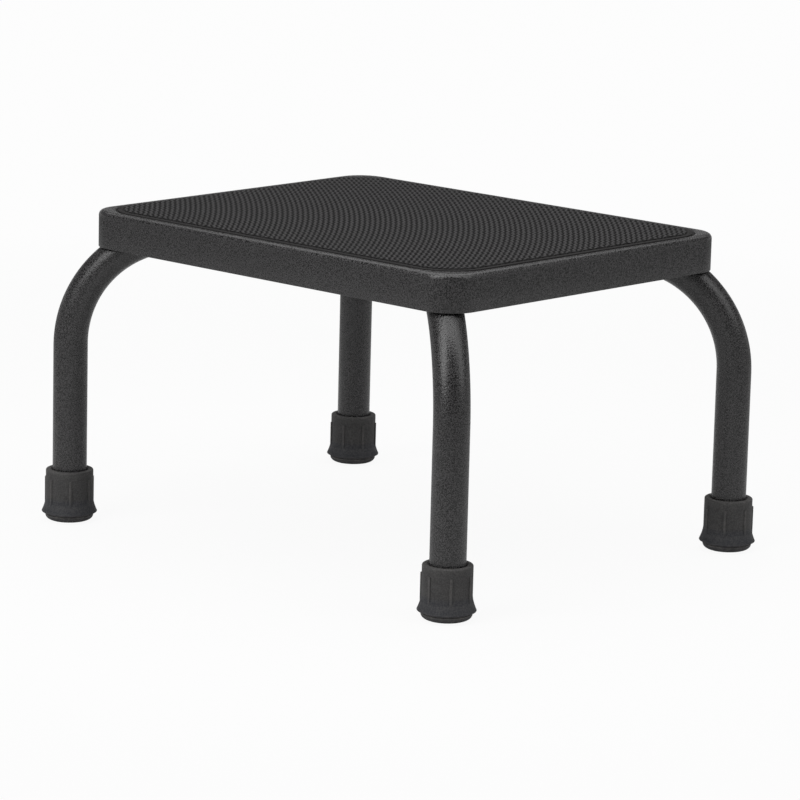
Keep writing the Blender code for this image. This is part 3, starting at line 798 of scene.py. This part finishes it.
def model_nuts(zinc):
    """Hexagon nuts with turned chamfers."""
    master = begin("nut_master")
    add_cylinder(NUT_CORNER, NUT_BOTTOM - OVERSHOOT, NUT_TOP + OVERSHOOT, sides=HEXAGON)
    reach = NUT_CORNER + OVERSHOOT
    chamfer = (reach - NUT_FACE) * math.tan(NUT_CHAMFER)
    add_turned([
        (BOLT_HOLE, NUT_TOP),
        (NUT_FACE, NUT_TOP),
        (reach, NUT_TOP - chamfer),
        (reach, NUT_BOTTOM + chamfer),
        (NUT_FACE, NUT_BOTTOM),
        (BOLT_HOLE, NUT_BOTTOM),
        (BOLT_HOLE, NUT_TOP),
    ], ROUND_STEPS)
    turn_about_z(math.pi / ROUND_STEPS)
    combine("INTERSECT")
    close_piece(master, zinc)
    set_out(master, fastener_copies("nut", "hex_nut"))


def washer_profile(top):
    """Half section of a washer with rounded rims."""
    inset = WASHER_RADIUS - WASHER_EDGE
    return [
        (BOLT_HOLE, top),
        *arc((inset, top - WASHER_EDGE), WASHER_EDGE, 90, 0, ROUNDING_STEPS),
        *arc((inset, WASHER_BOTTOM + WASHER_EDGE), WASHER_EDGE, 0, -90, ROUNDING_STEPS),
        (BOLT_HOLE, WASHER_BOTTOM),
        (BOLT_HOLE, top),
    ]


def model_washers(zinc):
    """Saddle washers under the round tubes, and a flat one under the pressed crossing."""
    master = begin("saddle_master")
    add_turned(washer_profile(SADDLE_TOP), ROUND_STEPS)
    bpy.ops.mesh.primitive_cylinder_add(
        vertices=2 * ROUND_STEPS, radius=TUBE_RADIUS + SEAT_GAP, depth=4 * WASHER_RADIUS,
        location=(0, 0, RUN_HEIGHT), rotation=(0, math.pi / 2, 0),
    )
    combine("DIFFERENCE")
    close_piece(master, zinc)
    copies = fastener_copies("saddle_washer", "saddle")
    del copies["saddle_centre"]
    set_out(master, copies)
    flat = begin("flat_washer")
    add_turned(washer_profile(WASHER_TOP), ROUND_STEPS)
    close_piece(flat, zinc)
    hand_over(flat, "centre_washer")


def add_node(tree, kind, inputs=None, **settings):
    """Add a shader node, set its options and set or link its inputs."""
    made = tree.nodes.new(kind)
    for name, value in settings.items():
        setattr(made, name, value)
    for name, value in (inputs or {}).items():
        if isinstance(value, bpy.types.NodeSocket):
            tree.links.new(value, made.inputs[name])
        else:
            made.inputs[name].default_value = value
    return made


def blend_colours(tree, share, low, high):
    """Blend two colours by a mask."""
    mix = add_node(tree, "ShaderNodeMix", data_type="RGBA")
    tree.links.new(share, mix.inputs[0])
    for socket, colour in ((mix.inputs[6], low), (mix.inputs[7], high)):
        if isinstance(colour, bpy.types.NodeSocket):
            tree.links.new(colour, socket)
        else:
            socket.default_value = (*colour, 1)
    return mix.outputs[2]


def spread(tree, value, low, high, new_low, new_high):
    """Stretch a value from one range to another, held at the ends."""
    made = add_node(tree, "ShaderNodeMapRange", {
        "Value": value, "From Min": low, "From Max": high, "To Min": new_low, "To Max": new_high,
    })
    return made.outputs["Result"]


def math_node(tree, operation, first, second):
    """One step of arithmetic."""
    return add_node(tree, "ShaderNodeMath", {0: first, 1: second}, operation=operation).outputs[0]


def vector_node(tree, operation, *inputs):
    """One step of arithmetic with vectors."""
    return add_node(tree, "ShaderNodeVectorMath", dict(enumerate(inputs)), operation=operation).outputs


def noise(tree, place, scale, detail, roughness):
    """A noise texture's value."""
    return add_node(tree, "ShaderNodeTexNoise", {
        "Vector": place, "Scale": scale, "Detail": detail, "Roughness": roughness,
    }).outputs["Fac"]


def height_of(tree, place):
    """The upright part of a place or a direction."""
    return add_node(tree, "ShaderNodeSeparateXYZ", {"Vector": place}).outputs["Z"]


def start_group(name, inputs, outputs):
    """Open a node group with named sockets."""
    group = bpy.data.node_groups.new(name, "ShaderNodeTree")
    for label, kind, value in inputs:
        socket = group.interface.new_socket(name=label, in_out="INPUT", socket_type=kind)
        if value is not None:
            socket.default_value = value
    for label, kind in outputs:
        group.interface.new_socket(name=label, in_out="OUTPUT", socket_type=kind)
    return group, group.nodes.new("NodeGroupInput").outputs, group.nodes.new("NodeGroupOutput").inputs


def make_grain_group():
    """Fine grain of a sprayed or moulded surface: pebbles with finer grit on them."""
    group, source, result = start_group(
        "surface_grain",
        [("Vector", "NodeSocketVector", None), ("Pebbles", "NodeSocketFloat", 800.0),
         ("Grit", "NodeSocketFloat", 0.4)],
        [("Height", "NodeSocketFloat"), ("Speckle", "NodeSocketFloat")],
    )
    pebbles = add_node(group, "ShaderNodeTexVoronoi", {
        "Vector": source["Vector"], "Scale": source["Pebbles"], "Randomness": 1.0,
    }, feature="SMOOTH_F1")
    finer = math_node(group, "MULTIPLY", source["Pebbles"], GRIT_FINENESS)
    grit = noise(group, source["Vector"], finer, detail=2.0, roughness=0.6)
    lumps = math_node(group, "SUBTRACT", 1.0, pebbles.outputs["Distance"])
    grit_height = math_node(group, "MULTIPLY", grit, source["Grit"])
    group.links.new(math_node(group, "ADD", lumps, grit_height), result["Height"])
    group.links.new(spread(group, grit, *SPECKLE_RANGE, 0.0, 1.0), result["Speckle"])
    return group


def make_handling_group():
    """Broad uneven patches that use and handling leave in a finish."""
    group, source, result = start_group(
        "handling_patches",
        [("Vector", "NodeSocketVector", None), ("Patches", "NodeSocketFloat", 18.0)],
        [("Patch", "NodeSocketFloat"), ("Smudge", "NodeSocketFloat")],
    )
    broad = noise(group, source["Vector"], source["Patches"], detail=4.0, roughness=0.55)
    group.links.new(spread(group, broad, *PATCH_RANGE, 0.0, 1.0), result["Patch"])
    smaller = math_node(group, "MULTIPLY", source["Patches"], SMUDGE_FINENESS)
    smudge = noise(group, source["Vector"], smaller, detail=6.0, roughness=0.7)
    group.links.new(spread(group, smudge, *SMUDGE_RANGE, 0.0, 1.0), result["Smudge"])
    return group


def start_material(name):
    """Open a material: its node tree, its shader and its object coordinates."""
    material = bpy.data.materials.new(name)
    material.use_nodes = True
    tree = material.node_tree
    shader = tree.nodes["Principled BSDF"]
    coordinates = tree.nodes.new("ShaderNodeTexCoord").outputs["Object"]
    return material, tree, shader, coordinates


def group_outputs(tree, group, place, values):
    """Place a node group in a material with its own values, and give its outputs."""
    return add_node(tree, "ShaderNodeGroup", {"Vector": place, **values}, node_tree=group).outputs


def roughen(tree, shader, height, bump):
    """Bump the surface by a height."""
    made = add_node(tree, "ShaderNodeBump", {"Height": height, **bump})
    tree.links.new(made.outputs["Normal"], shader.inputs["Normal"])


def make_coat(grain, patches):
    """Satin black powder coat with a fine leathery grain."""
    material, tree, shader, place = start_material("black_powder_coat")
    fine = group_outputs(tree, grain, place, COAT_GRAIN)
    broad = group_outputs(tree, patches, place, COAT_PATCHES)
    speckled = blend_colours(tree, fine["Speckle"], COAT_DARK, COAT_PALE)
    patchy = math_node(tree, "MULTIPLY", broad["Patch"], COAT_PATCH_SHARE)
    colour = blend_colours(tree, patchy, speckled, COAT_PATCH)
    tree.links.new(colour, shader.inputs["Base Color"])
    smudged = math_node(tree, "MULTIPLY", broad["Smudge"], COAT_SMUDGE_SHARE)
    dulled = math_node(tree, "ADD", smudged, fine["Speckle"])
    roughness = spread(tree, dulled, 0, 1 + COAT_SMUDGE_SHARE, *COAT_ROUGHNESS)
    tree.links.new(roughness, shader.inputs["Roughness"])
    shader.inputs["Specular IOR Level"].default_value = COAT_SPECULAR
    roughen(tree, shader, fine["Height"], COAT_BUMP)
    return material


def make_tread_rubber(grain, patches):
    """Matt black rubber, with painted shade in the valleys between the ribs and painted light on their
    tops.
    """
    material, tree, shader, place = start_material("black_tread_rubber")
    fine = group_outputs(tree, grain, place, TREAD_GRAIN)
    broad = group_outputs(tree, patches, place, TREAD_PATCHES)
    height = height_of(tree, place)
    valley = MAT_HIGH.z - RIB_HEIGHT
    # painted shade in the valleys and painted light on the rib tops, blended by height
    rib_shading = spread(tree, height, valley, MAT_HIGH.z, 0.0, 1.0)
    ribbed = blend_colours(tree, rib_shading, TREAD_VALLEY_PAINTED_SHADE, TREAD_TOP_PAINTED_LIGHT)
    edging = spread(tree, height, valley - BORDER_DROP, valley, 1.0, 0.0)
    bordered = blend_colours(tree, edging, ribbed, TREAD_EDGING)
    patchy = math_node(tree, "MULTIPLY", broad["Patch"], TREAD_PATCH_SHARE)
    colour = blend_colours(tree, patchy, bordered, TREAD_PATCH)
    tree.links.new(colour, shader.inputs["Base Color"])
    roughness = spread(tree, fine["Speckle"], 0, 1, *TREAD_ROUGHNESS)
    tree.links.new(roughness, shader.inputs["Roughness"])
    shader.inputs["Specular IOR Level"].default_value = TREAD_SPECULAR
    roughen(tree, shader, fine["Height"], TREAD_BUMP)
    return material


def radius_in_foot(tree, place):
    """How far a point of any foot lies from that foot's own axis."""
    mirrored = vector_node(tree, "ABSOLUTE", place)["Vector"]
    axis = (abs(FEET["rear_right"].x), abs(FEET["rear_right"].y), 0)
    from_axis = vector_node(tree, "SUBTRACT", mirrored, axis)["Vector"]
    flat = vector_node(tree, "MULTIPLY", from_axis, (1, 1, 0))["Vector"]
    return vector_node(tree, "LENGTH", flat)["Value"]


def make_tip_rubber(grain, patches):
    """Matt dark rubber, slightly blue in its lower part, with dust and painted highlights along its rims
    and ribs.
    """
    material, tree, shader, place = start_material("dark_tip_rubber")
    fine = group_outputs(tree, grain, place, TIP_GRAIN)
    broad = group_outputs(tree, patches, place, TIP_PATCHES)
    height = height_of(tree, place)
    # dust and painted highlight by height; its brightest band is a painted highlight on the puck's top
    # edge
    rims = add_node(tree, "ShaderNodeValToRGB", {"Fac": spread(tree, height, 0, TIP_HEIGHT, 0, 1)})
    ramp = rims.color_ramp.elements
    for spot, lightness in TIP_DUST_AND_HIGHLIGHT_BY_HEIGHT:
        ramp.new(spot).color = (lightness, lightness, lightness, 1)
    ramp[0].color = (TIP_DUST_AND_HIGHLIGHT_ON_SOLE, TIP_DUST_AND_HIGHLIGHT_ON_SOLE, TIP_DUST_AND_HIGHLIGHT_ON_SOLE, 1)
    ramp[-1].color = (TIP_DUST_AND_HIGHLIGHT_ON_LIP, TIP_DUST_AND_HIGHLIGHT_ON_LIP, TIP_DUST_AND_HIGHLIGHT_ON_LIP, 1)
    # dust and painted highlight on the ribs' edges above the flare
    ribs = spread(tree, radius_in_foot(tree, place), *TIP_RIB_DUST_AND_HIGHLIGHT_RANGE, 0.0, TIP_DUST_AND_HIGHLIGHT_ON_RIBS)
    upper = spread(tree, height, TIP_FLARE_HEIGHT, TIP_FLARE_TOP, 0.0, 1.0)
    upper_ribs = math_node(tree, "MULTIPLY", ribs, upper)
    edges = math_node(tree, "MAXIMUM", rims.outputs["Color"], upper_ribs)
    breaks = spread(tree, broad["Smudge"], 0, 1, *TIP_DUST_AND_HIGHLIGHT_BREAKS)
    dust_and_highlight = math_node(tree, "MULTIPLY", edges, breaks)
    plain = blend_colours(tree, broad["Patch"], TIP_PLAIN, TIP_PATCH)
    lower = spread(tree, height, TIP_FLARE_TOP - TIP_LIP, TIP_FLARE_TOP + TIP_LIP, TIP_BLUISH_SHARE, 0.0)
    toned = blend_colours(tree, lower, plain, TIP_BLUISH)
    specks = math_node(tree, "MULTIPLY", fine["Speckle"], TIP_SPECK_SHARE)
    speckled = blend_colours(tree, specks, toned, TIP_SPECK)
    colour = blend_colours(tree, dust_and_highlight, speckled, TIP_DUST_AND_HIGHLIGHT)
    tree.links.new(colour, shader.inputs["Base Color"])
    roughness = spread(tree, broad["Smudge"], 0, 1, *TIP_ROUGHNESS)
    tree.links.new(roughness, shader.inputs["Roughness"])
    shader.inputs["Specular IOR Level"].default_value = TIP_SPECULAR
    roughen(tree, shader, fine["Height"], TIP_BUMP)
    return material


def make_zinc(grain, patches):
    """Bright zinc plating, dulled in patches."""
    material, tree, shader, place = start_material("zinc_plated_steel")
    fine = group_outputs(tree, grain, place, ZINC_GRAIN)
    broad = group_outputs(tree, patches, place, ZINC_PATCHES)
    colour = blend_colours(tree, broad["Patch"], ZINC_DULL, ZINC_BRIGHT)
    tree.links.new(colour, shader.inputs["Base Color"])
    shader.inputs["Metallic"].default_value = 1.0
    roughness = spread(tree, broad["Smudge"], 0, 1, *ZINC_ROUGHNESS)
    tree.links.new(roughness, shader.inputs["Roughness"])
    roughen(tree, shader, fine["Height"], ZINC_BUMP)
    return material


def ray_masks(tree):
    """Masks of the rays that come from the camera, and of those that come off gloss or through glass."""
    path = tree.nodes.new("ShaderNodeLightPath").outputs
    mirrored = math_node(tree, "MAXIMUM", path["Is Glossy Ray"], path["Is Transmission Ray"])
    return path["Is Camera Ray"], mirrored


def mix_shaders(tree, share, first, second):
    """Mix two shaders by a mask."""
    return add_node(tree, "ShaderNodeMixShader", {"Fac": share, 1: first, 2: second}).outputs["Shader"]


def make_floor():
    """White floor with a faint shadow, clear from below.

    Only the camera sees it white all over. What it lights sees its own colour, a painted pool of light
    that darkens away from the stool, and what mirrors it sees that colour with a share of white.
    """
    bpy.ops.object.select_all(action="DESELECT")
    bpy.ops.mesh.primitive_plane_add(size=FLOOR_SIZE, location=(0, 0, -FLOOR_DROP))
    floor = bpy.context.object
    floor.name = "studio_floor"
    material, tree, shader, place = start_material("white_floor")
    distance = vector_node(tree, "LENGTH", place)["Value"]
    # painted pool of light round the stool, fading by distance
    outer = spread(tree, distance, *FLOOR_FADE, 0.0, 1.0)
    tree.links.new(blend_colours(tree, outer, FLOOR_POOL_NEAR, FLOOR_POOL_FAR), shader.inputs["Base Color"])
    shader.inputs["Roughness"].default_value = 1.0
    shader.inputs["Specular IOR Level"].default_value = 0.0
    glow = add_node(tree, "ShaderNodeEmission", {"Color": (*WHITE, 1), "Strength": 1.0})
    from_camera, mirrored = ray_masks(tree)
    whiteness = spread(tree, distance, *FLOOR_FADE, *FLOOR_WHITENESS)
    shown = math_node(tree, "MULTIPLY", from_camera, whiteness)
    share = math_node(tree, "MAXIMUM", shown, math_node(tree, "MULTIPLY", mirrored, FLOOR_MIRRORED))
    surface = mix_shaders(tree, share, shader.outputs["BSDF"], glow.outputs["Emission"])
    below = tree.nodes.new("ShaderNodeNewGeometry").outputs["Backfacing"]
    clear = tree.nodes.new("ShaderNodeBsdfTransparent").outputs["BSDF"]
    one_way = mix_shaders(tree, below, surface, clear)
    tree.links.new(one_way, tree.nodes["Material Output"].inputs["Surface"])
    floor.data.materials.append(material)


def make_world():
    """White studio: white to look at, with a darker ceiling in what shines, and weaker as a light."""
    world = bpy.data.worlds.new("white_studio")
    bpy.context.scene.world = world
    world.use_nodes = True
    tree = world.node_tree
    soft = tree.nodes["Background"]
    soft.inputs["Color"].default_value = (*WHITE, 1)
    soft.inputs["Strength"].default_value = WORLD_LIGHT
    direction = tree.nodes.new("ShaderNodeTexCoord").outputs["Generated"]
    rising = spread(tree, height_of(tree, direction), *CEILING_RISE, 0.0, 1.0)
    from_camera, mirrored = ray_masks(tree)
    seen = blend_colours(tree, from_camera, blend_colours(tree, rising, WHITE, CEILING), WHITE)
    shown = add_node(tree, "ShaderNodeBackground", {"Color": seen, "Strength": 1.0})
    direct = math_node(tree, "MAXIMUM", from_camera, mirrored)
    mix = mix_shaders(tree, direct, soft.outputs["Background"], shown.outputs["Background"])
    tree.links.new(mix, tree.nodes["World Output"].inputs["Surface"])


def add_softbox(name, place, aim, size, power):
    """A rectangular soft light at a place, turned to a point."""
    bpy.ops.object.select_all(action="DESELECT")
    bpy.ops.object.light_add(type="AREA", location=place)
    lamp = bpy.context.object
    lamp.name = lamp.data.name = name
    lamp.data.shape = "RECTANGLE"
    lamp.data.size, lamp.data.size_y = size
    lamp.data.energy = power
    lamp.rotation_euler = (Vector(aim) - Vector(place)).to_track_quat("-Z", "Y").to_euler()


def seen_from_camera(right, away, up):
    """A place given from the stool as the camera sees it: to the right, away from it, and up."""
    sine, cosine = math.sin(CAMERA_AZIMUTH), math.cos(CAMERA_AZIMUTH)
    return Vector((right * cosine - away * sine, right * sine + away * cosine, up))


def make_lights():
    """A tall softbox on each side, a wide one overhead and a weak one in front."""
    for name, (place, size, power) in SOFTBOXES.items():
        add_softbox(name, seen_from_camera(*place), LIGHTS_AIM, size, power)


def make_camera():
    """Long lens that looks a little down on the stool, with a slight roll."""
    sine, cosine = math.sin(CAMERA_AZIMUTH), math.cos(CAMERA_AZIMUTH)
    flat, rise = math.cos(CAMERA_ELEVATION), math.sin(CAMERA_ELEVATION)
    back = Vector((sine * flat, -cosine * flat, rise))
    bpy.ops.object.select_all(action="DESELECT")
    bpy.ops.object.camera_add(location=CAMERA_AIM + back * CAMERA_DISTANCE)
    camera = bpy.context.object
    camera.name = camera.data.name = "camera"
    facing = (-back).to_track_quat("-Z", "Y").to_matrix()
    camera.rotation_euler = (facing @ Matrix.Rotation(CAMERA_ROLL, 3, "Z")).to_euler()
    camera.data.lens = CAMERA_LENS
    camera.data.sensor_width = CAMERA_SENSOR
    camera.data.clip_end = CAMERA_RANGE
    bpy.context.scene.camera = camera


def main():
    """Model the pieces, dress them, and set up the studio."""
    grain, patches = make_grain_group(), make_handling_group()
    coat = make_coat(grain, patches)
    zinc = make_zinc(grain, patches)
    model_pan(coat)
    model_tread(make_tread_rubber(grain, patches))
    model_hoop("leg_hoop_upper", "leg_tube_upper", LEG_ANGLE, 1, coat)
    model_hoop("leg_hoop_lower", "leg_tube_lower", -LEG_ANGLE, -1, coat)
    model_feet(make_tip_rubber(grain, patches))
    model_bolts(zinc)
    model_nuts(zinc)
    model_washers(zinc)
    for corner in CORNERS:
        washer = frame["nodes"][f"tip_washer_{corner}"]
        washer.data.materials.clear()
        washer.data.materials.append(zinc)
    make_floor()
    make_world()
    make_lights()
    make_camera()
    bpy.context.scene.view_settings.view_transform = "Standard"


main()
